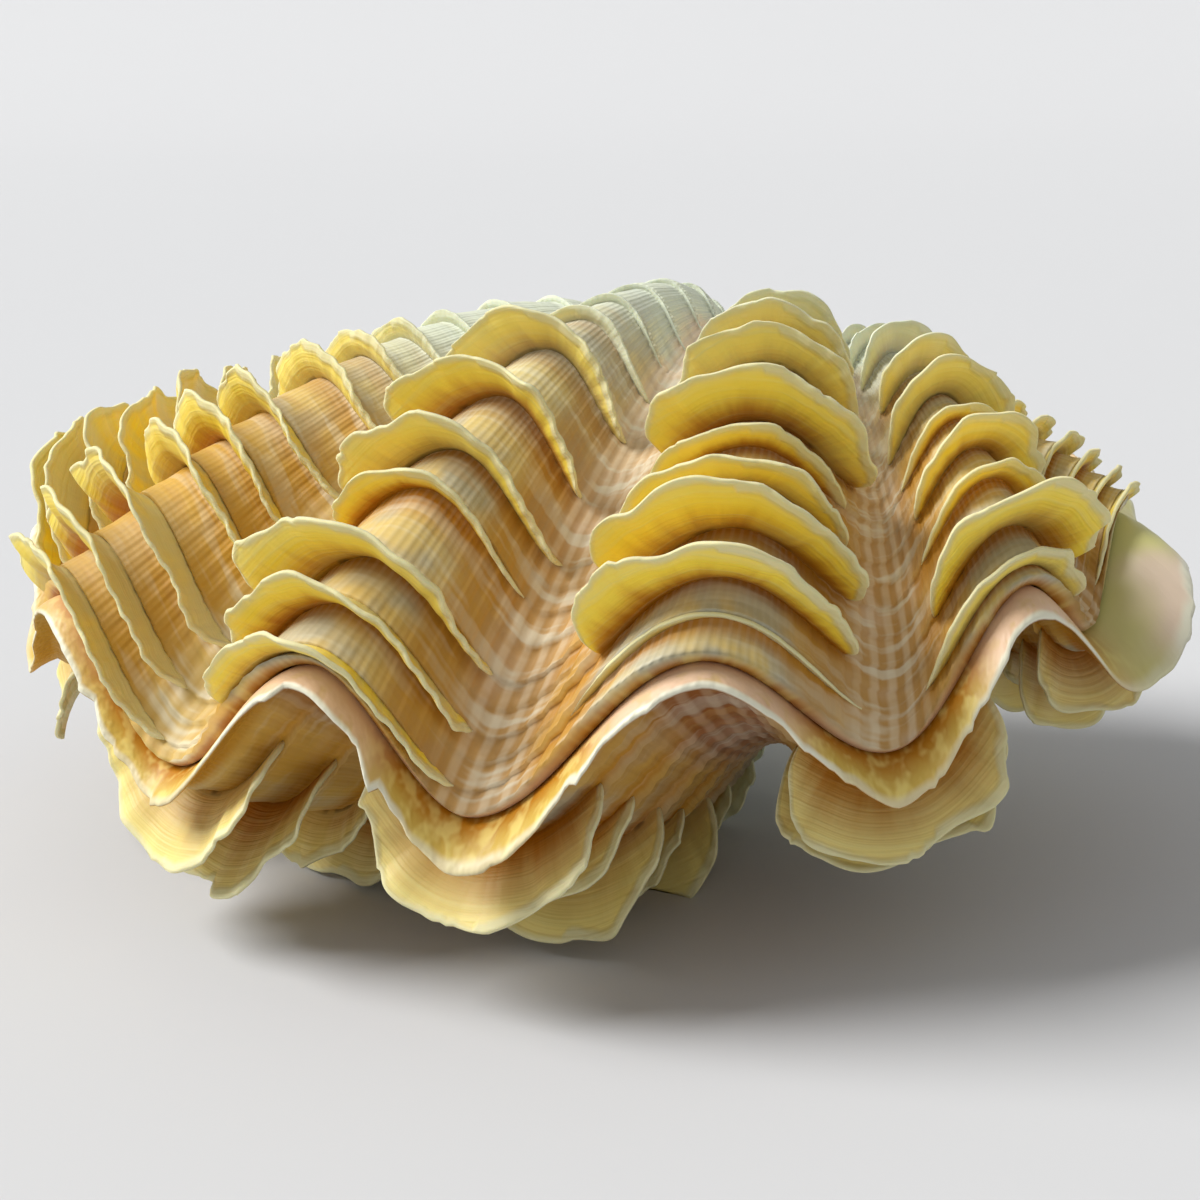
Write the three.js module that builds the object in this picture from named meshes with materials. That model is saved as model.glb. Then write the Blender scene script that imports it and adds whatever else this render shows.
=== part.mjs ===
// Giant clam shell: two fluted valves, shut, and the dried ligament that ties them at the back.
//
// Each valve is one growth surface. Its margin is an outline round the umbo, folded into ribs.
// Shrinking that margin towards the umbo while it turns about the hinge line gives every earlier
// growth stage, and so the dome. The valves share one margin, so a rib above is a valley below.
// Where the animal paused, the margin flared out into a leaf: the scutes that stand on the ribs.
//
// Millimetres. Before the shell is laid down, x runs along the hinge, -y points to the front
// margin, z = 0 is the plane between the valves, and the umbo is at the origin.

import * as THREE from "three";
import { mergeVertices } from "three/addons/utils/BufferGeometryUtils.js";

const rad = THREE.MathUtils.degToRad;

// ---- driving dimensions -------------------------------------------------------------------

const SHELL_HEIGHT = 150; // umbo to front margin, the scale of everything that grows
const END_ANGLE = 88; // the outline runs this far to either side of the front, degrees
const OUTLINE = [0.498, 0.469, 0.024, 0.007, -0.134, -0.021, 0.065]; // mean, then cos and sin pairs
const FOLD_DEPTH = 0.078; // half the height of a margin fold, of the shell height
const FOLD_LEAN = -0.09; // folds grow shallower towards +x by this much
const FOLD_FADE = -1.0; // and fade towards both ends
const END_EASE = 25; // folds flatten over this many degrees at each end
const MARGIN_TWIST = 0.036; // the margin dips on one side and rises on the other
const COIL = [56.8, 8.2, 31.1]; // degrees of turn towards the umbo: linear, square, fourth power
const GYRATION = 17.6; // ribs curve sideways by this many degrees towards the umbo
const WALL_RATIO = 0.05; // the inside is the outside shrunk by this share
const EDGE_THICKNESS = 1.5; // of the margin and of the hinge edge
const HALF_GAP = 0.2; // each valve stays this clear of the plane between them
const POLE_STATION = 0.05; // the first full ring beside the umbo

// Angles of the upper valve's ribs and of the valleys beside them, from left to right.
const UPPER_RIBS = [-58.4, -33.5, -7.2, 16.1, 39.3, 59.6];
const UPPER_VALLEYS = [-71.4, -45.9, -21.0, 2.1, 28.5, 49.2, 71.0];

// Scutes on the upper ribs, from the margin inwards: station (share of growth) on each rib.
const UPPER_STATIONS = [
  [0.985, 0.982, 0.99, 0.966, 0.978, 0.985],
  [0.945, 0.94, 0.948, 0.928, 0.925, 0.945],
  [0.9, 0.885, 0.905, 0.88, 0.855, 0.895],
  [0.85, 0.832, 0.835, 0.832, 0.802, 0.84],
  [0.795, 0.79, 0.79, 0.788, 0.745, 0.78],
  [0.735, 0.742, 0.718, 0.752, 0.682, 0.72],
  [0.67, 0.675, 0.64, 0.655, 0.61, 0.655],
  [0.605, 0.625, 0.575, 0.6, 0.52, 0.59],
  [0.54, 0.575, 0.52, 0.55, 0.45, 0.52],
  [0.45, 0.47, 0.42, 0.44, 0.35, 0.43],
];
// Height of the same scutes on each rib's crest.
const UPPER_HEIGHTS = [
  [9, 7.5, 7, 1.5, 4.5, 4],
  [10, 9.5, 9, 11, 11.5, 4],
  [10, 11, 12, 12, 4.5, 4],
  [9, 7, 5, 8, 7, 4],
  [9, 6.5, 9, 5, 3.5, 4],
  [8, 7, 10.5, 11, 8, 4],
  [8, 6, 8.5, 8, 7, 4],
  [6, 5.5, 3.5, 7, 6, 4],
  [5, 4.5, 2, 6, 4, 3],
  [3, 3, 1.2, 3, 3, 2.5],
];

// Scutes on the lower ribs, which lie under the upper valleys.
const LOWER_STATIONS = [
  [0.955, 0.95, 0.955, 0.955, 0.95, 0.955, 0.955],
  [0.9, 0.895, 0.9, 0.895, 0.89, 0.9, 0.9],
  [0.84, 0.835, 0.84, 0.83, 0.825, 0.84, 0.845],
  [0.775, 0.77, 0.775, 0.765, 0.76, 0.78, 0.785],
  [0.705, 0.7, 0.705, 0.695, 0.69, 0.715, 0.72],
  [0.63, 0.63, 0.63, 0.62, 0.62, 0.645, 0.65],
  [0.55, 0.555, 0.555, 0.545, 0.545, 0.57, 0.575],
  [0.45, 0.455, 0.455, 0.445, 0.445, 0.47, 0.475],
  [0.34, 0.345, 0.345, 0.335, 0.335, 0.35, 0.355],
];
const LOWER_HEIGHTS = [
  [10, 12, 12, 12, 11, 10, 7],
  [10, 12, 14, 14, 13, 10, 7],
  [10, 12, 13, 14, 13, 10, 7],
  [9, 11, 12, 12, 12, 9, 6],
  [8, 10, 11, 11, 10, 8, 5],
  [7, 8, 9, 9, 8, 7, 4],
  [5, 6, 7, 7, 6, 5, 3],
  [4, 5, 5, 5, 5, 4, 3],
  [3, 3, 3, 3, 3, 3, 2],
];

const SCUTE_ROOT_ANGLE = 47; // a scute leaves the rib at this angle, towards the margin
const SCUTE_TIP_ANGLE = 105; // and curls up past upright at its tip
const SCUTE_ROOT_HALF = 1.1; // half thickness at the root
const SCUTE_TIP_HALF = 0.45; // and at the tip
const SCUTE_END = 0.8; // scutes stop this far down the flank, from crest 0 to valley 1
const SCUTE_FALL = 0.24; // and lose their height over this much of it
const PAUSE_STEP = 0.45; // growth step left in the valleys

// The lower margin runs on past the upper one as a lip: a base reach, then the places where it
// widens or narrows, as [angle, change in reach, spread in degrees].
const LIP_REACH = 6;
const LIP_CHANGES = [
  [2, 2, 7],
  [28, 1.5, 6],
  [56, 10, 9],
  [-34, -3.5, 11],
  [-7, -2, 7],
  [-66, 5, 8],
];
const LIP_DROOP = 0.42; // drop of the lip's edge, as a share of its reach
const LIP_ROOT_THICKNESS = 2.2;
const LIP_EDGE_THICKNESS = 0.8;
const LIP_FADE = 10; // the lip closes over this many degrees at each end
const LIP_LEAST = 0.8; // down to this reach

const COLUMN_PLACES = [0.35, 0.65, 1]; // columns from each crest or valley to the next
const INNER_STATIONS = [0.8, 0.58, 0.36, 0.18, POLE_STATION];
const WORN_SHARES = [0.25, 0.42, 0.6, 0.8]; // plain rings by the umbo, of the oldest scutes' station

// Dried ligament: a flattened bead along the hinge line, beside the umbones.
const LIGAMENT_MIDDLE = 33; // from the umbo to its middle
const LIGAMENT_LENGTH = 46;
const LIGAMENT_HEIGHT = 8.4;
const LIGAMENT_DEPTH = 4.4;
const LIGAMENT_CLEARANCE = 0.45; // it lies this far behind the valves' hinge edges

// How the shut shell lies: tipped forwards onto its lower scutes, whose tips are worn flat there.
const REST_PITCH = 6; // degrees, front margin down
const REST_DEPTH = 57.3; // umbo above the surface it rests on
const UMBO_PLACE = [10.6, 71.3, REST_DEPTH]; // where that leaves the umbo, over the middle of the base

// ---- the growth surface -------------------------------------------------------------------

const clamp01 = (t) => Math.min(1, Math.max(0, t));
const smooth = (t) => clamp01(t) ** 2 * (3 - 2 * clamp01(t));
const mix = (a, b, t) => a + (b - a) * t;

function outlineRadius(angle) {
  const t = rad(angle);
  const [mean, c1, s1, c2, s2, c3, s3] = OUTLINE;
  const first = c1 * Math.cos(t) + s1 * Math.sin(t);
  const second = c2 * Math.cos(2 * t) + s2 * Math.sin(2 * t);
  const third = c3 * Math.cos(3 * t) + s3 * Math.sin(3 * t);
  return SHELL_HEIGHT * (mean + first + second + third);
}

// Valleys and crests in turn, with the flat ends, as [angle, level].
const FOLD_NODES = [
  ...UPPER_VALLEYS.map((angle) => [angle, -1]),
  ...UPPER_RIBS.map((angle) => [angle, 1]),
  [-END_ANGLE, 0],
  [END_ANGLE, 0],
].sort((a, b) => a[0] - b[0]);

// +1 on a crest, -1 in a valley, half a cosine between them.
function foldWave(angle) {
  const next = Math.max(1, FOLD_NODES.findIndex((node) => node[0] >= angle));
  const [startAngle, startLevel] = FOLD_NODES[next - 1];
  const [endAngle, endLevel] = FOLD_NODES[next];
  const t = clamp01((angle - startAngle) / (endAngle - startAngle));
  return mix(startLevel, endLevel, 0.5 - 0.5 * Math.cos(Math.PI * t));
}

function marginHeight(angle) {
  const t = rad(angle);
  const ease = smooth((END_ANGLE - Math.abs(angle)) / END_EASE);
  const depth = FOLD_DEPTH * (1 + FOLD_LEAN * Math.sin(t) + FOLD_FADE * (1 - Math.cos(t))) * ease;
  return SHELL_HEIGHT * (depth * foldWave(angle) + MARGIN_TWIST * Math.sin(t) * Math.cos(t));
}

// A point of the growth surface. side is 1 for the upper valve and -1 for the lower one.
function surfacePoint(station, angle, side) {
  const left = 1 - station;
  const turned = rad(angle) + rad(GYRATION) * left * Math.cos(rad(angle)) ** 2;
  const reach = outlineRadius(angle);
  const forward = -reach * Math.cos(turned);
  const height = marginHeight(angle) * side;
  const coil = rad(COIL[0] * left + COIL[1] * left ** 2 + COIL[2] * left ** 4);
  const y = forward * Math.cos(coil) + height * Math.sin(coil);
  const z = -forward * Math.sin(coil) + height * Math.cos(coil);
  return new THREE.Vector3(reach * Math.sin(turned), y, side * z).multiplyScalar(station);
}

// The point, the direction of growth and the outward normal there.
function surfaceFrame(station, angle, side) {
  const step = 1e-3;
  const degreeStep = THREE.MathUtils.radToDeg(step);
  const growth = surfacePoint(station + step, angle, side).sub(surfacePoint(station - step, angle, side));
  const along = surfacePoint(station, angle + degreeStep, side);
  along.sub(surfacePoint(station, angle - degreeStep, side));
  const rate = growth.length() / (2 * step);
  const normal = growth.clone().cross(along).multiplyScalar(side).normalize();
  return { point: surfacePoint(station, angle, side), growth: growth.normalize(), normal, rate };
}

const offset = (frame, forward, up) =>
  frame.point.clone().addScaledVector(frame.growth, forward).addScaledVector(frame.normal, up);

// ---- scutes -------------------------------------------------------------------------------

function valveLayout(side) {
  if (side > 0) {
    return { ribs: UPPER_RIBS, valleys: UPPER_VALLEYS, stations: UPPER_STATIONS, heights: UPPER_HEIGHTS };
  }
  const valleys = [-END_ANGLE, ...UPPER_RIBS, END_ANGLE];
  return { ribs: UPPER_VALLEYS, valleys, stations: LOWER_STATIONS, heights: LOWER_HEIGHTS };
}

// Index of the span of a rising list that holds the angle.
function spanOf(list, angle) {
  const next = list.findIndex((value) => value >= angle);
  const last = list.length - 2;
  return next < 0 ? last : Math.min(last, Math.max(0, next - 1));
}

// A scute's station eased from each rib's crest to the next.
function stationAt(row, ribs, angle) {
  const k = spanOf(ribs, angle);
  return mix(row[k], row[k + 1], smooth((angle - ribs[k]) / (ribs[k + 1] - ribs[k])));
}

// Full height over a rib's back, nothing in the valleys.
function heightAt(row, layout, angle) {
  const k = spanOf(layout.valleys, angle);
  const crest = layout.ribs[k];
  const valley = angle < crest ? layout.valleys[k] : layout.valleys[k + 1];
  const down = clamp01((angle - crest) / (valley - crest));
  return row[k] * smooth((SCUTE_END - down) / SCUTE_FALL) * (1 + 0.12 * down ** 2);
}

// Forward and up distances of a scute's middle line at its tip, for a leaf of unit length.
function tipReach() {
  const root = rad(SCUTE_ROOT_ANGLE);
  const tip = rad(SCUTE_TIP_ANGLE);
  const forward = (Math.sin(tip) - Math.sin(root)) / (tip - root);
  const up = (Math.cos(root) - Math.cos(tip)) / (tip - root);
  return { forward, up };
}

// One growth stage in one column: up the back of the scute, over its tip, down to its crease.
function stagePoints(previous, station, height, angle, side) {
  const frame = surfaceFrame(station, angle, side);
  const tall = Math.max(height, PAUSE_STEP * station + 0.1);
  const rootHalf = Math.min(SCUTE_ROOT_HALF, 0.35 * tall + 0.25) * (0.4 + 0.6 * station);
  const tipHalf = Math.min(SCUTE_TIP_HALF, 0.3 * tall);
  const back = Math.min(0.55 * (station - previous), (0.5 * tall + rootHalf) / frame.rate);
  const tip = tipReach();
  const leaf = tall / tip.up;
  const foot = surfaceFrame(station - back, angle, side);
  const points = [
    offset(foot, 0, EDGE_THICKNESS),
    offset(frame, tip.forward * leaf - tipHalf, tall + EDGE_THICKNESS),
    offset(frame, tip.forward * leaf + tipHalf, tall + EDGE_THICKNESS),
    offset(frame, rootHalf, EDGE_THICKNESS),
  ];
  return { points, next: station + rootHalf / frame.rate };
}

// ---- a valve ------------------------------------------------------------------------------

// Angles of the columns, shared by both valves so that their margins meet: every crest and
// valley, and places between them.
function columnAngles() {
  const angles = [-END_ANGLE];
  for (let k = 1; k < FOLD_NODES.length; k += 1) {
    COLUMN_PLACES.forEach((place) => angles.push(mix(FOLD_NODES[k - 1][0], FOLD_NODES[k][0], place)));
  }
  return angles;
}

function lipReach(angle) {
  const change = ([centre, amount, spread]) => amount * Math.exp(-(((angle - centre) / spread) ** 2));
  const reach = LIP_REACH + LIP_CHANGES.map(change).reduce((sum, part) => sum + part, 0);
  return LIP_LEAST + reach * smooth((END_ANGLE - Math.abs(angle)) / LIP_FADE);
}

// The upper margin: a thin edge that stands on the shared margin line.
function upperMargin(angle, last) {
  const before = offset(surfaceFrame(mix(last, 1, 0.6), angle, 1), 0, EDGE_THICKNESS);
  const edge = offset(surfaceFrame(1, angle, 1), 0, EDGE_THICKNESS);
  return [before, edge, surfacePoint(1, angle, 1)];
}

// The lower margin: under the lip to its edge, then back over it to the shared margin line.
function lowerMargin(angle, last) {
  const margin = surfacePoint(1, angle, -1);
  const reach = lipReach(angle);
  const outward = margin.clone().normalize();
  const lip = (share, drop) =>
    margin.clone().addScaledVector(outward, reach * share).add(new THREE.Vector3(0, 0, -drop));
  const edgeDrop = reach * LIP_DROOP;
  return [
    offset(surfaceFrame(mix(last, 0.985, 0.7), angle, -1), 0, EDGE_THICKNESS),
    lip(0.12, LIP_ROOT_THICKNESS + 0.1 * edgeDrop),
    lip(1, edgeDrop + LIP_EDGE_THICKNESS),
    lip(1, edgeDrop),
    margin,
  ];
}

// Outside and inside of one column, each from the umbo to the margin and back.
function columnPoints(angle, side, layout) {
  const oldest = layout.stations.length - 1;
  const first = stationAt(layout.stations[oldest], layout.ribs, angle);
  const worn = [POLE_STATION, ...WORN_SHARES.map((share) => share * first)];
  const outside = worn.map((station) => offset(surfaceFrame(station, angle, side), 0, EDGE_THICKNESS));
  let last = worn[worn.length - 1];
  for (let i = oldest; i >= 0; i -= 1) {
    const station = stationAt(layout.stations[i], layout.ribs, angle);
    const height = heightAt(layout.heights[i], layout, angle);
    const stage = stagePoints(last, station, height, angle, side);
    outside.push(...stage.points);
    last = stage.next;
  }
  outside.push(...(side > 0 ? upperMargin(angle, last) : lowerMargin(angle, last)));
  const shrink = 1 - WALL_RATIO;
  const inside = [1, ...INNER_STATIONS].map((station) =>
    surfacePoint(station, angle, side).multiplyScalar(shrink));
  return { outside, inside };
}

const REST_UP = new THREE.Vector3(0, Math.sin(rad(REST_PITCH)), Math.cos(rad(REST_PITCH)));

// Points below the resting plane are brought up to it.
function wearFlat(point) {
  const below = -REST_DEPTH - point.dot(REST_UP);
  if (below > 0) point.addScaledVector(REST_UP, below);
}

// Two polylines that share neither end are joined by triangles, the shorter diagonal each time.
function stitch(left, right, addTriangle) {
  let i = 0;
  let j = 0;
  while (i < left.length - 1 || j < right.length - 1) {
    const canLeft = i < left.length - 1;
    const canRight = j < right.length - 1;
    const leftGap = canLeft ? left[i + 1].distanceTo(right[j]) : Infinity;
    const rightGap = canRight ? left[i].distanceTo(right[j + 1]) : Infinity;
    if (leftGap <= rightGap) {
      addTriangle(left[i], left[i + 1], right[j]);
      i += 1;
    } else {
      addTriangle(left[i], right[j + 1], right[j]);
      j += 1;
    }
  }
}

function solidFrom(triangles) {
  const positions = new Float32Array(triangles.flat().flatMap((p) => [p.x, p.y, p.z]));
  const geometry = new THREE.BufferGeometry();
  geometry.setAttribute("position", new THREE.BufferAttribute(positions, 3));
  const merged = mergeVertices(geometry, 1e-4);
  merged.computeVertexNormals();
  return merged;
}

function valveGeometry(side) {
  const layout = valveLayout(side);
  const columns = columnAngles().map((angle) => columnPoints(angle, side, layout));
  const lift = new THREE.Vector3(0, 0, HALF_GAP * side);
  for (const point of columns.flatMap((column) => [...column.outside, ...column.inside])) {
    point.add(lift);
    wearFlat(point);
  }
  const outerPole = new THREE.Vector3(0, EDGE_THICKNESS, 0).add(lift);
  const innerPole = lift.clone();

  const triangles = [];
  const add = (a, b, c) => triangles.push(side > 0 ? [a, b, c] : [a, c, b]);
  for (let k = 0; k < columns.length - 1; k += 1) {
    const here = [outerPole, ...columns[k].outside, ...columns[k].inside, innerPole];
    const next = [outerPole, ...columns[k + 1].outside, ...columns[k + 1].inside, innerPole];
    for (let r = 0; r < here.length - 1; r += 1) {
      if (r > 0) add(here[r], here[r + 1], next[r]);
      if (r < here.length - 2) add(here[r + 1], next[r + 1], next[r]);
    }
  }
  const hingeEdge = (column, flip) => {
    const inner = [innerPole, ...[...column.inside].reverse()];
    const outer = [outerPole, ...column.outside];
    stitch(outer, inner, (a, b, c) => (flip ? add(a, c, b) : add(a, b, c)));
  };
  hingeEdge(columns[0], true);
  hingeEdge(columns[columns.length - 1], false);
  return solidFrom(triangles);
}

// ---- ligament -----------------------------------------------------------------------------

function ligamentGeometry() {
  const bead = new THREE.SphereGeometry(0.5, 12, 8);
  bead.rotateZ(Math.PI / 2);
  bead.scale(LIGAMENT_LENGTH, LIGAMENT_DEPTH, LIGAMENT_HEIGHT);
  bead.translate(LIGAMENT_MIDDLE, EDGE_THICKNESS + LIGAMENT_CLEARANCE + LIGAMENT_DEPTH / 2, 0);
  return bead;
}

// ---- assembly -----------------------------------------------------------------------------

const yellowShell = new THREE.MeshStandardMaterial({ color: 0xd9b64a, roughness: 0.6, metalness: 0 });
const peachShell = new THREE.MeshStandardMaterial({ color: 0xd8a860, roughness: 0.6, metalness: 0 });
const driedLigament = new THREE.MeshStandardMaterial({ color: 0x4a3420, roughness: 0.7, metalness: 0 });

function named(name, geometry, material) {
  const mesh = new THREE.Mesh(geometry, material);
  mesh.name = name;
  return mesh;
}

const shell = new THREE.Group();
shell.add(named("upper_valve", valveGeometry(1), yellowShell));
shell.add(named("lower_valve", valveGeometry(-1), peachShell));
shell.add(named("hinge_ligament", ligamentGeometry(), driedLigament));

shell.rotation.x = rad(REST_PITCH);
shell.position.set(...UMBO_PLACE);

const part = new THREE.Group();
part.add(shell);

export default part;
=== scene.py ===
"""Giant clam shell: two fluted yellow valves, shut, with leaf-like scutes on their ribs.

Every surface is worked out in millimetres in the shell's own frame, where x runs along the
hinge, -y points to the front margin, z = 0 is the plane between the valves and the umbo is at
the origin. lay_down() then sets the shell on its feet, in metres.
"""

import bmesh
import bpy
import numpy as np
from mathutils import Matrix, Vector


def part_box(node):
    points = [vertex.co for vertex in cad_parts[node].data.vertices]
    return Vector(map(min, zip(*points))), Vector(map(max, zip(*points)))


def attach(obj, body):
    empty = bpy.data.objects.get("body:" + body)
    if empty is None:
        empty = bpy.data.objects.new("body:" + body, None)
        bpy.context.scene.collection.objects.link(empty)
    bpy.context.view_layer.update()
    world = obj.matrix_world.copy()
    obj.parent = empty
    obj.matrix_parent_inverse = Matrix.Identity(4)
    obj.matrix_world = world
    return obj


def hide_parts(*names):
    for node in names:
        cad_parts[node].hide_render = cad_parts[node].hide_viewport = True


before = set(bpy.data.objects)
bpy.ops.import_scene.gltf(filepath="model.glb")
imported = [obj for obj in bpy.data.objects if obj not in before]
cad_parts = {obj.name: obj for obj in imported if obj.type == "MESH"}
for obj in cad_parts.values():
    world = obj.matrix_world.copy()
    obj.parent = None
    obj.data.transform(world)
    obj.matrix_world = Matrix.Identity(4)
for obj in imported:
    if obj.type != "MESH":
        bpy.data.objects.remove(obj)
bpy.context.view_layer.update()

# ---- driving dimensions -------------------------------------------------------------------

MM = 0.001
SHELL_HEIGHT = 150.0     # from the umbo to the middle of the margin
END_ANGLE = 88.0         # the hinge line, measured from the middle of the margin
OUTLINE = (0.498, 0.469, 0.024, 0.007, -0.134, -0.021, 0.065)    # mean, cosines and sines
FOLD_DEPTH, FOLD_LEAN, FOLD_FADE, END_EASE = 0.078, -0.09, -1.0, 25.0
MARGIN_TWIST = 0.036     # the left end sits lower than the right one
COIL = (56.8, 8.2, 31.1)                 # degrees, by powers 1, 2 and 4 of the growth to come
GYRATION = 17.6          # degrees that the ribs sweep sideways as they grow
WALL_RATIO = 0.05        # wall thickness as a share of the distance from the umbo
EDGE_THICKNESS = 1.5
HALF_GAP = 0.2           # half the gap between the shut valves
UPPER_RIBS = np.array([-58.4, -33.5, -7.2, 16.1, 39.3, 59.6])
UPPER_VALLEYS = np.array([-71.4, -45.9, -21.0, 2.1, 28.5, 49.2, 71.0])
REST_PITCH, REST_DEPTH = 6.0, 57.3
UMBO_PLACE = np.array([10.6, 71.3, REST_DEPTH])

# Scutes from the margin inwards, one column to a rib: share of growth, then height on the crest.
UPPER_STATIONS = np.array([
    [0.985, 0.982, 0.990, 0.966, 0.978, 0.985],
    [0.945, 0.940, 0.948, 0.928, 0.925, 0.945],
    [0.900, 0.885, 0.905, 0.880, 0.855, 0.895],
    [0.850, 0.832, 0.835, 0.832, 0.802, 0.840],
    [0.795, 0.790, 0.790, 0.788, 0.745, 0.780],
    [0.735, 0.742, 0.718, 0.752, 0.682, 0.720],
    [0.670, 0.675, 0.640, 0.655, 0.610, 0.655],
    [0.605, 0.625, 0.575, 0.600, 0.520, 0.590],
    [0.540, 0.575, 0.520, 0.550, 0.450, 0.520],
    [0.475, 0.520, 0.460, 0.490, 0.380, 0.450],
    [0.410, 0.450, 0.395, 0.420, 0.310, 0.380],
    [0.340, 0.370, 0.325, 0.345, 0.245, 0.310],
    [0.265, 0.285, 0.255, 0.265, 0.185, 0.240],
    [0.190, 0.200, 0.185, 0.190, 0.130, 0.170]])
UPPER_HEIGHTS = np.array([
    [11, 10, 7, 1.5, 4.5, 4],
    [12, 11.5, 9, 11, 11.5, 4],
    [12, 12.5, 12, 12, 4.5, 4],
    [11, 9, 5, 8, 7, 4],
    [10.5, 9.5, 9, 5, 3.5, 4],
    [9, 8.5, 10.5, 11, 8, 4],
    [8, 7, 8.5, 8, 7, 4],
    [6, 5, 2.5, 7, 6, 4],
    [4, 3.5, 1.2, 5.5, 4, 3],
    [2.5, 2, 0.8, 3, 3, 2.5],
    [1.6, 1.4, 0.6, 1.6, 2, 2],
    [1, 1, 0.5, 1, 1.5, 1.5],
    [0.7, 0.7, 0.4, 0.6, 1, 1],
    [0.5, 0.5, 0.4, 0.4, 0.8, 0.8]])
LOWER_STATIONS = np.array([
    [0.955, 0.950, 0.955, 0.955, 0.950, 0.955, 0.955],
    [0.900, 0.895, 0.900, 0.895, 0.890, 0.900, 0.900],
    [0.840, 0.835, 0.840, 0.830, 0.825, 0.840, 0.845],
    [0.775, 0.770, 0.775, 0.765, 0.760, 0.780, 0.785],
    [0.705, 0.700, 0.705, 0.695, 0.690, 0.715, 0.720],
    [0.630, 0.630, 0.630, 0.620, 0.620, 0.645, 0.650],
    [0.550, 0.555, 0.555, 0.545, 0.545, 0.570, 0.575],
    [0.470, 0.475, 0.475, 0.465, 0.465, 0.490, 0.495],
    [0.390, 0.395, 0.395, 0.385, 0.385, 0.405, 0.410],
    [0.310, 0.315, 0.315, 0.305, 0.305, 0.320, 0.325],
    [0.230, 0.235, 0.235, 0.225, 0.225, 0.240, 0.240]])
LOWER_HEIGHTS = np.array([
    [10, 13, 13, 14, 12, 11, 7],
    [10, 9, 15, 9, 13, 12, 7],
    [10, 13, 9, 15, 8, 7, 7],
    [9, 8, 13, 8, 12, 10, 6],
    [8, 11, 7, 12, 6, 5, 5],
    [7, 5, 9, 6, 8, 7, 4],
    [5, 6, 4, 7, 4, 3, 3],
    [4, 5, 5, 5, 5, 4, 2.5],
    [3, 3.5, 4, 4, 4, 3, 2],
    [2, 2.5, 3, 3, 3, 2, 1.5],
    [1.5, 1.5, 2, 2, 2, 1.5, 1]])

# Share of each flank, left and right, that the scutes on each rib cover, and how squarely they
# end there: a low number tapers, a high one gives a blunt ear.
UPPER_SPANS = np.array([[0.55, 0.52, 0.50, 0.50, 0.70, 0.70], [0.80, 0.86, 0.84, 0.68, 0.52, 0.50]])
UPPER_SHOULDERS = np.array([[5, 6, 6, 5, 1.8, 1.8], [2.2, 1.8, 1.4, 2.3, 5, 5]])
LOWER_SHOULDERS = np.array([[4, 4, 4, 4, 4, 4, 4], [3, 3, 3, 2, 3, 3, 3]])
LOWER_SPANS = np.array([[0.60, 0.60, 0.60, 0.60, 0.56, 0.55, 0.55],
                        [0.60, 0.60, 0.52, 0.44, 0.50, 0.55, 0.55]])

# Degrees that the leaves of each rib curl back beyond upright.
UPPER_CURL = (30, 22, 4, 0, 0, 0)
LOWER_CURL = (0, 0, -6, -10, -6, 0, 0)

# The lower margin's lip: reach, and [angle, change, spread] where it widens or narrows.
LIP_REACH, LIP_LEAST, LIP_FADE, LIP_DROOP, LIP_WAVE = 6.0, 0.8, 10.0, 0.42, 0.7
LIP_CHANGES = ((56, 10, 9), (-34, -3.5, 11), (-7, -3, 7), (-66, 5, 8), (2, 2, 7), (16, -3, 6),
               (28, 1, 6), (40, -2, 5))

# Fine relief of the walls.
RIBLETS = 120            # fine radial ridges from end to end of a valve
RIBLET_COLUMNS = 4       # mesh columns to a riblet
RIBLET_HEIGHT = 0.24
CREST_RIBLETS, RIBLETS_FULL = 0.25, 0.8  # riblets' strength on a crest, and the flank where full
RAMP_HEIGHT = 1.7        # the rib's back rises this much before each scute
VALLEY_RAMP = 0.6        # and its valleys this much before each growth line
RAMP_POWER = 1.6
BACK_END, BACK_FADE = 0.85, 0.4          # flank where a rib's back gives way to the valley
LINE_WAVES, LINE_HEIGHT = 190, 0.07      # growth lines, as radians from umbo to margin
LINE_WANDER, LINE_WANDER_WAVES = 1.3, 0.21
UMBO_RELIEF = 0.3        # relief near the umbo, against 1 at the margin
POLE_STATION = 0.03
LOBE_START = 98          # the riblet where the lip widens to its right-hand lobe
GOLDEN_START, GOLDEN_END = 42, 60        # riblets left of which the young shell is all golden
FINE_RIBLETS = 3.0       # finer ridges to a riblet, on the ribs' backs


# ---- the growth surface -------------------------------------------------------------------

def smooth(t):
    """Eased step: 3t squared minus 2t cubed, held between 0 and 1."""
    t = np.clip(t, 0, 1)
    return t * t * (3 - 2 * t)


def outline_radius(angle):
    """Reach of the margin from the umbo: a mean and three pairs of cosines and sines."""
    t = np.radians(angle)
    mean, c1, s1, c2, s2, c3, s3 = OUTLINE
    wave = c1 * np.cos(t) + s1 * np.sin(t) + c2 * np.cos(2 * t) + s2 * np.sin(2 * t)
    return SHELL_HEIGHT * (mean + wave + c3 * np.cos(3 * t) + s3 * np.sin(3 * t))


FOLD_ANGLES = np.concatenate([[-END_ANGLE], np.sort(np.concatenate([UPPER_VALLEYS, UPPER_RIBS])),
                              [END_ANGLE]])
FOLD_LEVELS = np.array([0] + [-1 + 2 * (k % 2) for k in range(len(FOLD_ANGLES) - 2)] + [0])


def fold_wave(angle):
    """+1 on an upper crest, -1 in an upper valley, half a cosine between neighbours."""
    place = np.interp(angle, FOLD_ANGLES, np.arange(len(FOLD_ANGLES)))
    k = np.clip(place.astype(int), 0, len(FOLD_ANGLES) - 2)
    ease = 0.5 - 0.5 * np.cos(np.pi * (place - k))
    return FOLD_LEVELS[k] + (FOLD_LEVELS[k + 1] - FOLD_LEVELS[k]) * ease


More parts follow.
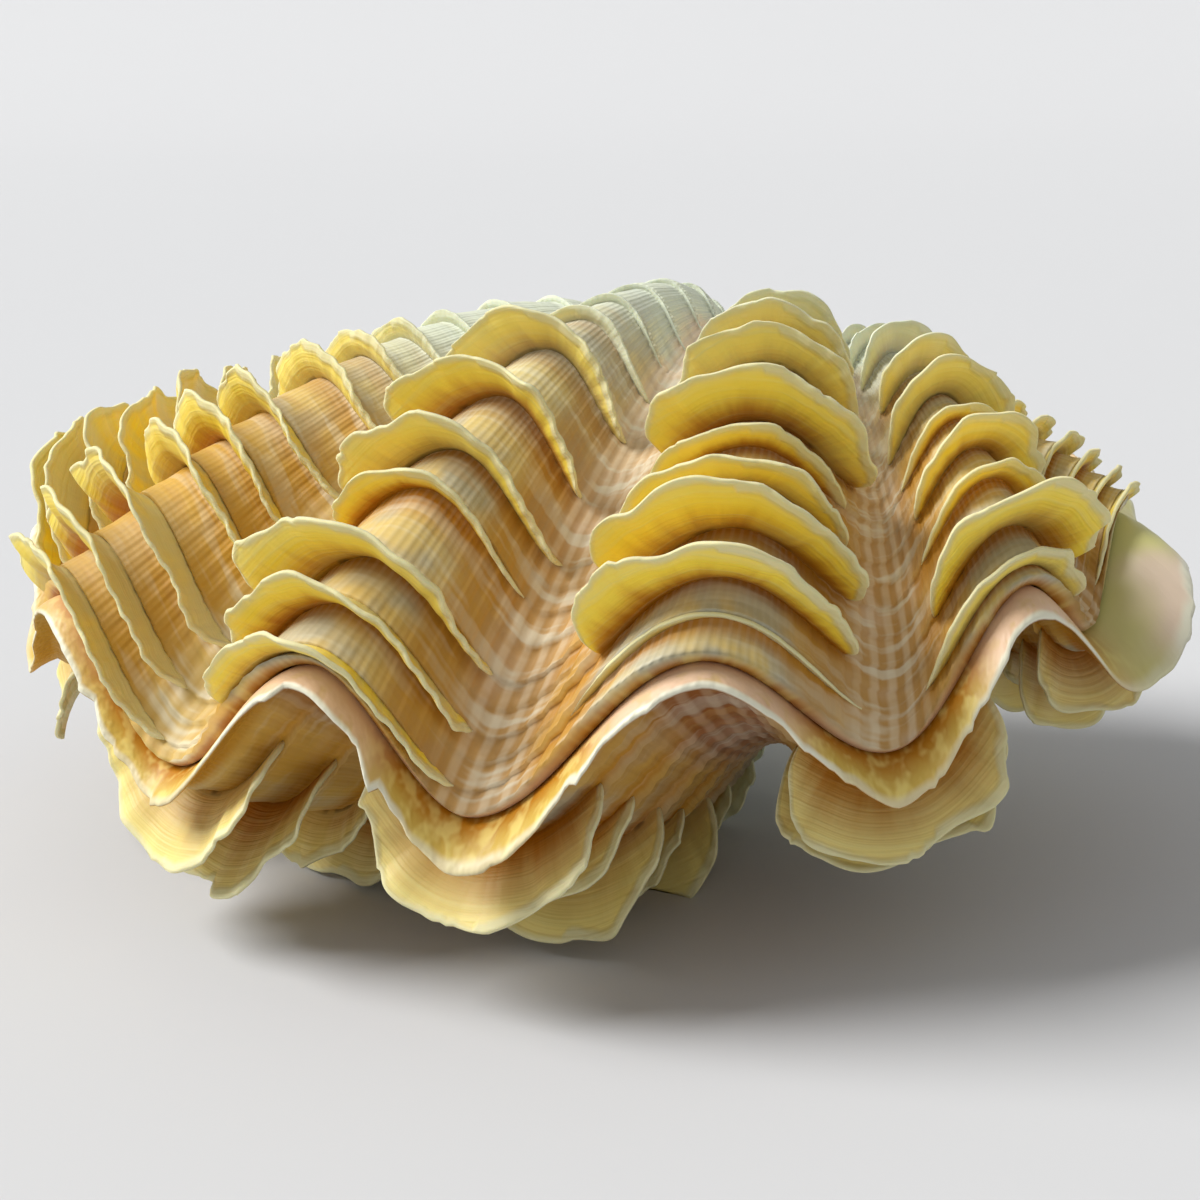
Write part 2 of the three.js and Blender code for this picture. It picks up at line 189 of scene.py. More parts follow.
def margin_height(angle):
    """Height of the shared margin: the fold wave, shallower towards the ends, plus a twist."""
    t = np.radians(angle)
    ease = smooth((END_ANGLE - np.abs(angle)) / END_EASE)
    depth = FOLD_DEPTH * (1 + FOLD_LEAN * np.sin(t) + FOLD_FADE * (1 - np.cos(t))) * ease
    return SHELL_HEIGHT * (depth * fold_wave(angle) + MARGIN_TWIST * np.sin(t) * np.cos(t))


def surface_point(station, angle, side):
    """The margin shrunk to its station and turned about the hinge by the coil angle there."""
    station, angle = np.broadcast_arrays(np.asarray(station, float), np.asarray(angle, float))
    left = 1 - station
    turned = np.radians(angle + GYRATION * left * np.cos(np.radians(angle)) ** 2)
    reach = outline_radius(angle)
    forward = -reach * np.cos(turned)
    height = margin_height(angle) * side
    coil = np.radians(COIL[0] * left + COIL[1] * left ** 2 + COIL[2] * left ** 4)
    y = forward * np.cos(coil) + height * np.sin(coil)
    z = -forward * np.sin(coil) + height * np.cos(coil)
    return station[..., None] * np.stack([reach * np.sin(turned), y, side * z], -1)


def unit(vectors):
    """Vectors scaled to length one."""
    return vectors / np.maximum(np.linalg.norm(vectors, axis=-1, keepdims=True), 1e-9)


def surface_frame(station, angle, side):
    """Point, direction of growth and outward normal, from small steps either way."""
    step = 1e-3
    turn = np.degrees(step)
    ahead = surface_point(station + step, angle, side) - surface_point(station - step, angle, side)
    along = surface_point(station, angle + turn, side) - surface_point(station, angle - turn, side)
    return surface_point(station, angle, side), unit(ahead), unit(np.cross(ahead, along)) * side


REST_TURN = np.array(Matrix.Rotation(np.radians(REST_PITCH), 3, "X"))


def lay_down(points):
    """Turns points by the resting pitch, sets the umbo in its place and wears low tips flat."""
    laid = points @ REST_TURN.T + UMBO_PLACE
    laid[..., 2] = np.maximum(laid[..., 2], 0)
    return laid * MM


# ---- ribs ---------------------------------------------------------------------------------

class Valve:
    """Where one valve's ribs, valleys and scutes are, and which way it faces."""

    def __init__(self, side):
        self.side = side
        upper = side > 0
        self.ribs = UPPER_RIBS if upper else UPPER_VALLEYS
        ends = [-END_ANGLE], [END_ANGLE]
        self.valleys = UPPER_VALLEYS if upper else np.concatenate([ends[0], UPPER_RIBS, ends[1]])
        self.stations = UPPER_STATIONS if upper else LOWER_STATIONS
        self.heights = UPPER_HEIGHTS if upper else LOWER_HEIGHTS
        self.spans = UPPER_SPANS if upper else LOWER_SPANS
        self.shoulders = UPPER_SHOULDERS if upper else LOWER_SHOULDERS
        self.curl = UPPER_CURL if upper else LOWER_CURL

    def station(self, stage, angle):
        """A growth stage's station, eased from each rib's crest to the next."""
        k = np.clip(np.searchsorted(self.ribs, angle) - 1, 0, len(self.ribs) - 2)
        ease = smooth((angle - self.ribs[k]) / (self.ribs[k + 1] - self.ribs[k]))
        row = self.stations[stage]
        return row[k] + (row[k + 1] - row[k]) * ease

    def flank(self, angle):
        """0 on a crest, 1 in a valley."""
        k = np.clip(np.searchsorted(self.valleys, angle) - 1, 0, len(self.valleys) - 2)
        crest = self.ribs[k]
        valley = np.where(angle < crest, self.valleys[k], self.valleys[k + 1])
        return np.clip((angle - crest) / (valley - crest), 0, 1)


UPPER, LOWER = Valve(1), Valve(-1)
LENGTH_SAMPLES = 2000


def even_columns(count):
    """Angles spaced evenly by length along the shared margin."""
    angle = np.linspace(-END_ANGLE, END_ANGLE, LENGTH_SAMPLES)
    steps = np.linalg.norm(np.diff(surface_point(1.0, angle, 1), axis=0), axis=1)
    length = np.concatenate([[0], np.cumsum(steps)])
    return np.interp(np.linspace(0, length[-1], count), length, angle)


COLUMN_COUNT = RIBLETS * RIBLET_COLUMNS + 1
COLUMNS = even_columns(COLUMN_COUNT)


def riblet_phase(angle):
    """How many riblets lie between the left end and the angle."""
    return np.interp(angle, COLUMNS, np.linspace(0, RIBLETS, COLUMN_COUNT))


def chips(length, spacing, depth, rng):
    """Ragged edge: straight lines between random levels at random spacing, along a length."""
    count = max(3, int(length[-1] / spacing))
    knots = np.sort(rng.uniform(0, length[-1], count))
    return depth * np.interp(length, knots, rng.uniform(-1, 1, count))


ANY_PHASE = 6.3


def swell(across, waves, depth, rng):
    """A few slow sine waves with random phases."""
    total = sum(np.sin(across * wave + rng.uniform(0, ANY_PHASE)) for wave in waves)
    return depth * total / len(waves)


# ---- meshes -------------------------------------------------------------------------------

SAME_POINT = 1e-6        # metres between points that are one, such as a pole's


def ring_grid_faces(rows, columns, start=0):
    """Quads of a grid whose rows close on themselves, with a many-sided cap at either end."""
    index = start + np.arange(rows * columns).reshape(rows, columns)
    after = np.roll(index, -1, axis=0)
    quads = np.stack([index[:, :-1], after[:, :-1], after[:, 1:], index[:, 1:]], -1)
    faces = quads.reshape(-1, 4).tolist()
    return faces + [index[::-1, 0].tolist(), index[:, -1].tolist()]


def make_piece(name, points, faces, fields, material, node):
    """A mesh from laid points, with one stored number per point for each field."""
    mesh = bpy.data.meshes.new(name)
    mesh.from_pydata(points.tolist(), [], faces)
    for key, values in fields.items():
        layer = mesh.attributes.new(key, "FLOAT", "POINT")
        layer.data.foreach_set("value", np.ascontiguousarray(values, np.float32))
    work = bmesh.new()
    work.from_mesh(mesh)
    bmesh.ops.remove_doubles(work, verts=work.verts, dist=SAME_POINT)
    bmesh.ops.recalc_face_normals(work, faces=work.faces)
    work.to_mesh(mesh)
    work.free()
    mesh.materials.append(material)
    mesh.polygons.foreach_set("use_smooth", np.ones(len(mesh.polygons), bool))
    piece = bpy.data.objects.new(name, mesh)
    bpy.context.scene.collection.objects.link(piece)
    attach(piece, "root")
    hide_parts(node)
    return piece


# ---- valve walls --------------------------------------------------------------------------

STAGE_SHARES = np.array([0.02, 0.16, 0.33, 0.49, 0.52, 0.68, 0.84, 0.95, 1.0])
MARGIN_SHARES = (0.04, 0.25, 0.5, 0.75, 1.0)     # the same, from the last scutes to the margin
LOWER_END = 0.985        # the station where the lower wall turns under its lip
MARGIN_RAMP = 0.8        # how far the last ramp has risen at the margin


def wall_rows(valve):
    """Stations of the rows from the umbo out, with each row's share of its growth stage."""
    rows = [(POLE_STATION + 0 * COLUMNS, 0 * COLUMNS)]
    before = rows[0][0]
    for stage in range(len(valve.stations) - 1, -1, -1):
        here = valve.station(stage, COLUMNS)
        rows += [(before + (here - before) * share, share + 0 * COLUMNS) for share in STAGE_SHARES]
        before = here
    last = 1.0 if valve.side > 0 else LOWER_END
    for share in MARGIN_SHARES:
        rows.append((before + (last - before) * share, MARGIN_RAMP * share + 0 * COLUMNS))
    return rows


def wall_relief(station, share, flank):
    """Height above the smooth surface: ramps before each growth line, riblets and fine lines.

    A rib's back has one ramp to a growth stage, and its valleys have two low ones.
    """
    back = smooth((BACK_END - flank) / BACK_FADE)
    steps = np.where(share < 0.5, share, share - 0.5) * 2
    ramp = RAMP_HEIGHT * back * share ** RAMP_POWER
    ramp = ramp + VALLEY_RAMP * (1 - back) * steps ** RAMP_POWER
    strength = CREST_RIBLETS + (1 - CREST_RIBLETS) * smooth(flank / RIBLETS_FULL)
    riblet = RIBLET_HEIGHT * np.cos(2 * np.pi * riblet_phase(COLUMNS)) * strength
    wander = LINE_WANDER * np.sin(COLUMNS * LINE_WANDER_WAVES)
    lines = LINE_HEIGHT * np.sin(station * LINE_WAVES + wander)
    return (ramp + riblet + lines) * (UMBO_RELIEF + (1 - UMBO_RELIEF) * station)


LIP_SEED, LIP_WAVE_SEED = 11, 12
RIBLET_WIDTH = 4         # rough width of a riblet at the margin
LIP_CHIPS = ((7, 1.1), (2, 0.5))         # spacing and depth
LIP_SWELL_WAVES, LIP_SWELL = (13, 29), 0.1
LIP_WAVES = (17, 31, 53)
LIP_STRAIGHT = 0.3       # share of the droop that comes at once, the rest by the square
LIP_UNDER = ((0.1, 2.2), (0.35, 1.9), (0.65, 1.5), (0.9, 1.2), (1.0, 0.9))     # reach, thickness
LIP_OVER = ((1.03, 0.45), (1.0, 0.1), (0.9, 0), (0.65, 0), (0.4, 0), (0.18, 0), (0, 0))


def lip_reach(angle):
    """Reach of the lower lip past the shared margin, with ragged edges."""
    rng = np.random.default_rng(LIP_SEED)
    reach = LIP_REACH + sum(a * np.exp(-((angle - c) / w) ** 2) for c, a, w in LIP_CHANGES)
    length = riblet_phase(angle) * RIBLET_WIDTH
    ragged = sum(chips(length, spacing, depth, rng) for spacing, depth in LIP_CHIPS)
    reach = reach * (1 + swell(np.radians(angle), LIP_SWELL_WAVES, LIP_SWELL, rng)) + ragged
    return LIP_LEAST + reach * smooth((END_ANGLE - np.abs(angle)) / LIP_FADE)


def lower_lip():
    """Rows under the lip to its rounded edge and back over it, as points and shares of reach.

    Each row leaves the margin by its share of the reach and drops by the lip's droop.
    """
    margin = surface_point(1.0, COLUMNS, -1)
    outward = unit(margin)
    reach = lip_reach(COLUMNS)
    rng = np.random.default_rng(LIP_WAVE_SEED)
    wave = swell(np.radians(COLUMNS), LIP_WAVES, LIP_WAVE, rng)
    rows = []
    for share, thick in LIP_UNDER + LIP_OVER:
        droop = LIP_DROOP * (LIP_STRAIGHT * share + (1 - LIP_STRAIGHT) * share ** 2)
        point = margin + outward * (reach * share)[:, None]
        point[:, 2] -= reach * droop + thick + wave * share
        rows.append((point, share))
    return rows


INNER_STATIONS = (1.0, 0.9, 0.75, 0.6, 0.45, 0.3, 0.15, POLE_STATION)


def valve_wall(valve, node, material):
    """Outside from the umbo to the margin, the margin or lip, then the inside back again."""
    side = valve.side
    flank = valve.flank(COLUMNS)
    zero = 0 * COLUMNS
    pole = np.tile([0.0, EDGE_THICKNESS, 0.0], (COLUMN_COUNT, 1))
    rows = [(pole, zero, zero, zero, zero)]
    for station, share in wall_rows(valve):
        point, _, normal = surface_frame(station, COLUMNS, side)
        up = EDGE_THICKNESS + wall_relief(station, share, flank)
        rows.append((point + normal * up[:, None], station, share, zero, zero))
    one = zero + 1
    if side > 0:
        rows.append((surface_point(1.0, COLUMNS, side), one, one, zero, one))
    else:
        for k, (point, share) in enumerate(lower_lip()):
            rows.append((point, one, zero, zero + share, one * (k >= len(LIP_UNDER))))
    for station in INNER_STATIONS:
        inner = surface_point(station, COLUMNS, side) * (1 - WALL_RATIO)
        rows.append((inner, zero + station, zero, zero, one))
    rows.append((0 * pole, zero, zero, zero, one))

    points = np.array([row[0] for row in rows])
    points[..., 2] += HALF_GAP * side
    station, share, lip, inside = (np.array([row[k] for row in rows]) for k in (1, 2, 3, 4))
    fields = {
        "growth": station.ravel(), "share": share.ravel(), "lip": lip.ravel(),
        "inside": inside.ravel(), "flank": np.tile(flank, len(rows)),
        "phase": np.tile(riblet_phase(COLUMNS), len(rows)),
    }
    faces = ring_grid_faces(len(rows), COLUMN_COUNT)
    points = lay_down(points).reshape(-1, 3)
    return make_piece(node + "_wall", points, faces, fields, material, node)


# ---- scutes -------------------------------------------------------------------------------

LEAF_STEPS = np.array([0, 0.1, 0.22, 0.36, 0.52, 0.68, 0.82, 0.92, 0.97, 1.0])
LINE_SAMPLES = 61        # points of the fine line that the steps are picked from
LEAF_ROOT_ANGLE, LEAF_TIP_ANGLE = 44.0, 92.0
LEAF_TURN_POWER = 0.7
LEAF_ROOT_HALF, LEAF_TIP_HALF, LEAF_THINNING = 0.7, 0.34, 0.6      # half thickness, and its power
SMALL_LEAF_HALF = 0.45   # share of that thickness by the umbo
EDGE_HALF = (0.2, 0.06)  # and never more than this share of the rise, plus this
LEAF_COLUMNS, COLUMNS_PER_MM, COLUMN_LIMITS = 44, 7, (40, 124)
END_CROWDING = 0.9       # columns crowd at the leaf's ends, as the sine of this share of a turn
SPAN_RANGE, SHOULDER_RANGE = (0.88, 1.12), (0.85, 1.2)
OUTLINE_POWER = 0.7
RAGGED_WAVES, RAGGED_DEPTH = (3, 7, 13), 0.16
LEAF_CHIPS = ((4.2, 0.8), (1.2, 0.4))    # spacing and depth
FULL_LEAF = 6            # height at which chips and ripples are at their full depth
LEAST_RISE = 0.3
LEAN_RANGE, LEAN_WAVES, LEAN_DEPTH = 10, (4, 9, 17), 9
TAPER_SHOULDER = 4       # an end blunter than this doesn't lie down
SPREAD, SPREAD_POWER, SPREAD_TURN = 0.08, 1.6, 1.3       # how a leaf's ends flare sideways
ROOT_SINK, LEAF_LIFT, EDGE_OVERHANG = 0.9, 0.2, 0.15
LEAF_RIPPLE = 0.2        # how far the riblets ripple a leaf's edge
TAPER_LEAN = 30.0        # degrees that a tapering end lies down
THIN_SIDE = 0.7          # millimetres less of pale rim on the left flanks


def leaf_line(root_angle, tip_angle, steps):
    """Forward and up along a leaf's middle line, which turns from its root to its tip angle.

    The line is the running sum of its direction, scaled so that it ends one unit up.
    """
    fine = np.linspace(0, 1, LINE_SAMPLES)
    turn = root_angle + (tip_angle[:, None] - root_angle) * fine ** LEAF_TURN_POWER
    forward = np.cumsum(np.cos(turn), axis=1) - np.cos(turn)
    up = np.cumsum(np.sin(turn), axis=1) - np.sin(turn)
    scale = up[:, -1:]
    at = (steps * (LINE_SAMPLES - 1)).round().astype(int)
    return (forward / scale)[:, at], (up / scale)[:, at], turn[:, at]


def scute(valve, rib, stage):
    """One leaf: a thin shell that rises from a growth line across a rib's back.

    Its middle line leaves the rib at the root angle and curls up to the tip angle. Its rise is
    the height times one minus the place across to the shoulder's power, so it is full across the
    back and falls to both ends. Random chips and slow waves make the edge ragged.
    """
    rng = np.random.default_rng(1000 * (valve.side + 2) + 40 * rib + stage)
    height = valve.heights[stage, rib]
    crest, left, right = valve.ribs[rib], valve.valleys[rib], valve.valleys[rib + 1]
    columns = int(np.clip(LEAF_COLUMNS + COLUMNS_PER_MM * height, *COLUMN_LIMITS))
    reach = np.pi / 2 * END_CROWDING
    across = np.sin(np.linspace(-1, 1, columns) * reach) / np.sin(reach)
    ends = valve.spans[:, rib] * rng.uniform(*SPAN_RANGE, 2)
    flank = np.where(across < 0, -across * ends[0], across * ends[1])
    angle = crest + flank * np.where(across < 0, left - crest, right - crest)
    station = valve.station(stage, angle)
    point, ahead, normal = surface_frame(station, angle, valve.side)
    sideways = unit(np.cross(normal, ahead)) * valve.side

    length = np.concatenate([[0], np.cumsum(np.linalg.norm(np.diff(point, axis=0), axis=1))])
    left_end, right_end = valve.shoulders[:, rib] * rng.uniform(*SHOULDER_RANGE, 2)
    end = np.where(across < 0, left_end, right_end)
    outline = (1 - np.abs(across) ** end) ** OUTLINE_POWER
    ragged = 1 + swell(across, RAGGED_WAVES, RAGGED_DEPTH, rng)
    chipped = sum(chips(length, spacing, depth, rng) for spacing, depth in LEAF_CHIPS)
    rise = outline * (height * ragged + chipped * min(1, height / FULL_LEAF))
    rise = np.maximum(rise, LEAST_RISE * station)

    lean = valve.curl[rib] + rng.uniform(-LEAN_RANGE, LEAN_RANGE)
    lean = lean + swell(across, LEAN_WAVES, LEAN_DEPTH, rng)
    lean = lean - TAPER_LEAN * np.abs(across) * smooth(TAPER_SHOULDER - end)
    ripple = LEAF_RIPPLE * np.cos(2 * np.pi * riblet_phase(angle))
    ripple = ripple * np.minimum(1, rise / FULL_LEAF)
    forward, up, turn = leaf_line(
        np.radians(LEAF_ROOT_ANGLE), np.radians(LEAF_TIP_ANGLE + lean), LEAF_STEPS)
    half = LEAF_ROOT_HALF + (LEAF_TIP_HALF - LEAF_ROOT_HALF) * LEAF_STEPS ** LEAF_THINNING
    half = half * (SMALL_LEAF_HALF + (1 - SMALL_LEAF_HALF) * station)[:, None]
    half = np.minimum(half, EDGE_HALF[0] * rise[:, None] + EDGE_HALF[1])
    spread = SPREAD * np.sign(across) * np.abs(across) ** SPREAD_POWER

    def rows(sign):
        """Points of one face from root to tip: 1 the front face, -1 the back."""
        out = []
        for k, step in enumerate(LEAF_STEPS):
            fore = forward[:, k] * rise + sign * half[:, k] * np.sin(turn[:, k]) + ripple * step
            high = up[:, k] * rise - sign * half[:, k] * np.cos(turn[:, k])
            high = high + LEAF_LIFT if k else 0 * high - ROOT_SINK
            high = high + EDGE_THICKNESS
            wide = spread * rise * step ** SPREAD_TURN
            place = point + ahead * fore[:, None] + normal * high[:, None]
            out.append((place + sideways * wide[:, None], step, (sign + 1) / 2))
        return out

    back, front = rows(-1), rows(1)[::-1]
    past_tip = (back[-1][0] - back[-2][0]) * EDGE_OVERHANG
    edge = (0.5 * (back[-1][0] + front[0][0]) + past_tip, 1.0, 0.5)
    loop = back + [edge] + front
    grid = np.array([row[0] for row in loop])
    one = np.ones(columns)
    fields = {
        "growth": np.concatenate([station] * len(loop)),
        "rise": np.concatenate([one * row[1] for row in loop]),
        "face": np.concatenate([one * row[2] for row in loop]),
        "high": np.concatenate([rise * row[1] for row in loop]),
        "phase": np.concatenate([riblet_phase(angle)] * len(loop)),
        "tint": np.full(columns * len(loop), rng.uniform(0, 1)),
        "rim": np.concatenate([rise * (1 - row[1]) + THIN_SIDE * (across < 0) for row in loop]),
    }
    return grid, fields


def rib_scutes(valve, rib, name, material, node):
    """All the leaves of one rib, joined in one mesh."""
    points, faces, fields, start = [], [], {}, 0
    for stage in range(len(valve.stations)):
        grid, values = scute(valve, rib, stage)
        faces += ring_grid_faces(grid.shape[0], grid.shape[1], start)
        start += grid.shape[0] * grid.shape[1]
        grid[..., 2] += HALF_GAP * valve.side
        points.append(lay_down(grid).reshape(-1, 3))
        for key, part in values.items():
            fields.setdefault(key, []).append(part)
    joined = {key: np.concatenate(parts) for key, parts in fields.items()}
    return make_piece(name, np.concatenate(points), faces, joined, material, node)


# ---- materials ----------------------------------------------------------------------------

SOFT_LIGHT = 0.15        # share of the light that sinks into a leaf
LIGHT_DEPTH, LIGHT_REACH = 0.004, (1.0, 0.6, 0.25)       # how deep, and for red, green and blue
SHEEN = 0.35
TURN = 6.2832            # radians
COLOUR_A, COLOUR_B, COLOUR_RESULT = 6, 7, 2      # a Mix node's sockets for colours


class Value:
    """A socket that adds Math nodes when it is used in an expression."""

    def __init__(self, paint, socket):
        self.paint, self.socket = paint, socket

    def _math(self, kind, first, second=None):
        inputs = {0: first} if second is None else {0: first, 1: second}
        return self.paint.node("ShaderNodeMath", {"operation": kind}, inputs)["Value"]

    def __add__(self, other): return self._math("ADD", self, other)
    def __radd__(self, other): return self._math("ADD", other, self)
    def __sub__(self, other): return self._math("SUBTRACT", self, other)
    def __rsub__(self, other): return self._math("SUBTRACT", other, self)
    def __mul__(self, other): return self._math("MULTIPLY", self, other)
    def __rmul__(self, other): return self._math("MULTIPLY", other, self)
    def sin(self): return self._math("SINE", self)


class Outputs:
    """A node's outputs by name, each wrapped as a Value."""

    def __init__(self, paint, made):
        self.paint, self.made = paint, made

    def __getitem__(self, key):
        return Value(self.paint, self.made.outputs[key])


class Paint:
    """Builds one material's nodes."""

    def __init__(self, name):
        self.material = bpy.data.materials.new(name)
        self.material.use_nodes = True
        self.tree = self.material.node_tree
        self.shader = self.tree.nodes["Principled BSDF"]

    def node(self, kind, settings, inputs):
        """A node of the given type: settings first, then values or links for its sockets."""
        made = self.tree.nodes.new(kind)
        for key, value in settings.items():
            setattr(made, key, value)
        for key, value in inputs.items():
            self.feed(made.inputs[key], value)
        return Outputs(self, made)

    def feed(self, socket, value):
        """Links a Value to a socket, or sets a plain number or colour on it."""
        if isinstance(value, Value):
            self.tree.links.new(value.socket, socket)
        else:
            socket.default_value = value

    def field(self, name):
        """A number stored on the mesh."""
        return self.node("ShaderNodeAttribute", {"attribute_name": name}, {})["Fac"]

    def noise(self, scale, detail=2.0, rough=0.5, vector=None):
        """Cloudy noise, about 0 to 1."""
        where = self.node("ShaderNodeTexCoord", {}, {})["Object"] if vector is None else vector
        inputs = {"Vector": where, "Scale": scale, "Detail": detail, "Roughness": rough}
        return self.node("ShaderNodeTexNoise", {}, inputs)["Fac"]

    def place(self, x, y, z=0.0):
        """A vector made of three values."""
        return self.node("ShaderNodeCombineXYZ", {}, {"X": x, "Y": y, "Z": z})["Vector"]

    def step(self, value, low, high):
        """Eased 0 to 1 as the value goes from low to high."""
        settings = {"interpolation_type": "SMOOTHSTEP"}
        inputs = {"Value": value, "From Min": low, "From Max": high}
        return self.node("ShaderNodeMapRange", settings, inputs)["Result"]

    def mix(self, factor, first, second):
        """Two colours mixed."""
        settings = {"data_type": "RGBA", "clamp_factor": True}
        inputs = {"Factor": factor, COLOUR_A: first, COLOUR_B: second}
        return self.node("ShaderNodeMix", settings, inputs)[COLOUR_RESULT]

    def finish(self, colour, roughness, relief, depth, glow=0.0):
        """Feeds the shader: colour, roughness, a bump of the given depth, light that sinks in."""
        self.feed(self.shader.inputs["Base Color"], colour)
        self.feed(self.shader.inputs["Roughness"], roughness)
        inputs = {"Strength": 1.0, "Distance": depth, "Height": relief}
        bump = self.node("ShaderNodeBump", {}, inputs)
        self.feed(self.shader.inputs["Normal"], bump["Normal"])
        self.shader.inputs["Subsurface Weight"].default_value = glow
        self.shader.inputs["Subsurface Scale"].default_value = LIGHT_DEPTH
        self.shader.inputs["Subsurface Radius"].default_value = LIGHT_REACH
        self.shader.inputs["Specular IOR Level"].default_value = SHEEN
        return self.material


def tone(red, green, blue):
    """A colour from its screen values of 0 to 255."""
    share = np.array([red, green, blue]) / 255
    linear = np.where(share <= 0.04045, share / 12.92, ((share + 0.055) / 1.055) ** 2.4)
    return (*linear.tolist(), 1.0)


CHALK = tone(232, 228, 204)
CREAM = tone(216, 206, 150)
GREY_CREAM = tone(182, 174, 146)
# painted shade at the roots of the upper leaves
ROOT_SHADE_OLIVE = tone(176, 144, 48)
YELLOW = tone(252, 220, 72)
PALE_YELLOW = tone(246, 228, 138)
# painted shade: a darkened gold for the creases at leaf roots, after each growth line and at the
# lip's root
SHADED_GOLD = tone(180, 116, 10)
# painted shade: a darker gold for the ribs' flanks, over their own golden colour
SHADED_FLANK_GOLD = tone(186, 132, 34)
AMBER = tone(190, 146, 82)
# painted shade: the lower valve's underside, seen in shade
SHADED_UNDERSIDE_AMBER = tone(140, 80, 20)
BEIGE = tone(234, 216, 182)
PEACH = tone(226, 190, 156)
PINK = tone(224, 202, 178)
SAND = tone(212, 184, 110)
MOSS = tone(204, 172, 78)
GREEN_CREAM = tone(206, 200, 132)
UMBO_WHITE = tone(216, 224, 206)
HONEY = tone(204, 158, 48)
RIM = tone(220, 214, 172)
BROWN = tone(70, 42, 14)


def riblet_crest(paint, phase, wander):
    """1 on each riblet, 0 between two, with lines that wander a little."""
    return (phase * TURN + TURN / 4 + (wander - 0.5) * 3.0).sin() * 0.5 + 0.5


def wall_material(name, floor_colour, banding):
    """A valve's wall: cream and sandy ribs, golden flanks darkened by painted shade, banded
    valleys, smooth inside.

    The young ribs turn dark gold at the crease after each growth line, which is painted shade.
    Pale bands follow the growth lines as strongly as the banding says, the young shell at the
    left is all honey-coloured, and the oldest shell is worn white and pink. The lip is golden
    and streaked under the grooves, painted dark gold at its root under the margin as painted shade,
    peach under the ribs, green and pink on its right-hand lobe, and chalky at its edge.
    """
    paint = Paint(name)
    growth, flank, phase = paint.field("growth"), paint.field("flank"), paint.field("phase")
    inside, lip, share = paint.field("inside"), paint.field("lip"), paint.field("share")
    cloud = paint.noise(30.0, 2.0, 0.6)
    patch = paint.noise(75.0, 2.0, 0.65)
    lines = paint.noise(1.0, 2.0, 0.65, paint.place(phase * 0.14, growth * 52))
    riblet = riblet_crest(paint, phase, patch)
    wobble = (cloud - 0.5) * 0.3
    valley = paint.step(flank + wobble, 0.62, 0.86)
    side = paint.step(flank + wobble, 0.3, 0.5)
    young = paint.step(growth + wobble, 0.5, 0.85)

    left = paint.step(phase, GOLDEN_END, GOLDEN_START) * young
    # painted shade: young rib backs turn dark gold at the crease where each growth stage starts
    root = paint.mix(young, GREY_CREAM, SHADED_GOLD)
    back = paint.mix(paint.step(patch, 0.4, 0.6), GREY_CREAM, paint.mix(young, CREAM, SAND))
    rib = paint.mix(paint.step(share + wobble, 0.1, 0.6), root, back)
    fine = (phase * (TURN * FINE_RIBLETS) + cloud * 6.0).sin() * 0.5 + 0.5
    rib = paint.mix(paint.step(fine, 0.3, 1.0) * (0.3 - 0.22 * young) * (1 - side), rib, CHALK)
    # painted shade: the flanks, more so on young shell, darken to a shaded gold
    rib = paint.mix(side * (0.1 + 0.65 * young), rib, SHADED_FLANK_GOLD)
    # for the lower valve this young floor colour is painted shade on its underside
    floor = paint.mix(young, BEIGE, floor_colour)
    floor = paint.mix(paint.step(cloud, 0.5, 0.7) * 0.3, floor, PINK)
    floor = paint.mix(paint.step(riblet, 0.2, 0.9) * (0.42 * banding), floor, BEIGE)
    floor = paint.mix(paint.step(patch, 0.58, 0.7) * young * 0.3, floor, PINK)
    floor = paint.mix(left * 0.75, floor, MOSS)
    rib = paint.mix(left * 0.7, rib, HONEY)
    colour = paint.mix(valley, rib, floor)
    pale = paint.step(lines, 0.5, 0.62) * (0.35 + 0.45 * valley) * (1 - 0.35 * young) * banding
    colour = paint.mix(pale, colour, CHALK)
    colour = paint.mix(paint.step(lines, 0.45, 0.3) * 0.35, colour, AMBER)
    worn = 1 - paint.step(growth + (cloud - 0.5) * 0.4, 0.44, 0.7)
    stone = paint.mix(paint.step(flank + (patch - 0.5) * 0.8, 0.55, 0.85), UMBO_WHITE, PINK)
    colour = paint.mix(worn * 0.75, colour, stone)

    rays = paint.noise(1.0, 2.0, 0.6, paint.place(phase * 1.1, lip * 1.5 + growth * 3))
    # painted shade: the lip is dark gold at its root under the margin
    petal = paint.mix(paint.step(lip + wobble, 0.2, 0.9), SHADED_GOLD, MOSS)
    petal = paint.mix(paint.step(rays, 0.45, 0.65) * 0.5, petal, PALE_YELLOW)
    inner = paint.mix(paint.step(flank + wobble, 0.4, 0.7) * (1 - 0.6 * left), petal, PEACH)
    inner = paint.mix(paint.step(rays, 0.5, 0.35) * lip * 0.5, inner, MOSS)
    lobe = paint.mix(paint.step(cloud, 0.42, 0.58), GREEN_CREAM, PINK)
    inner = paint.mix(paint.step(phase, LOBE_START, LOBE_START + 4), inner, lobe)
    chalky = paint.step(lip + (patch - 0.5) * 0.4, 0.84, 1.0) * (0.5 + 0.5 * side)
    inner = paint.mix(chalky, inner, CHALK)
    colour = paint.mix(inside, colour, inner)
    relief = lines * (0.8 - 0.4 * side) + patch * 0.5 + rays * lip
    relief = relief + fine * 0.1 * (1 - valley) * (1 - inside)
    return paint.finish(colour, 0.58 - 0.15 * inside, relief, 0.0006)


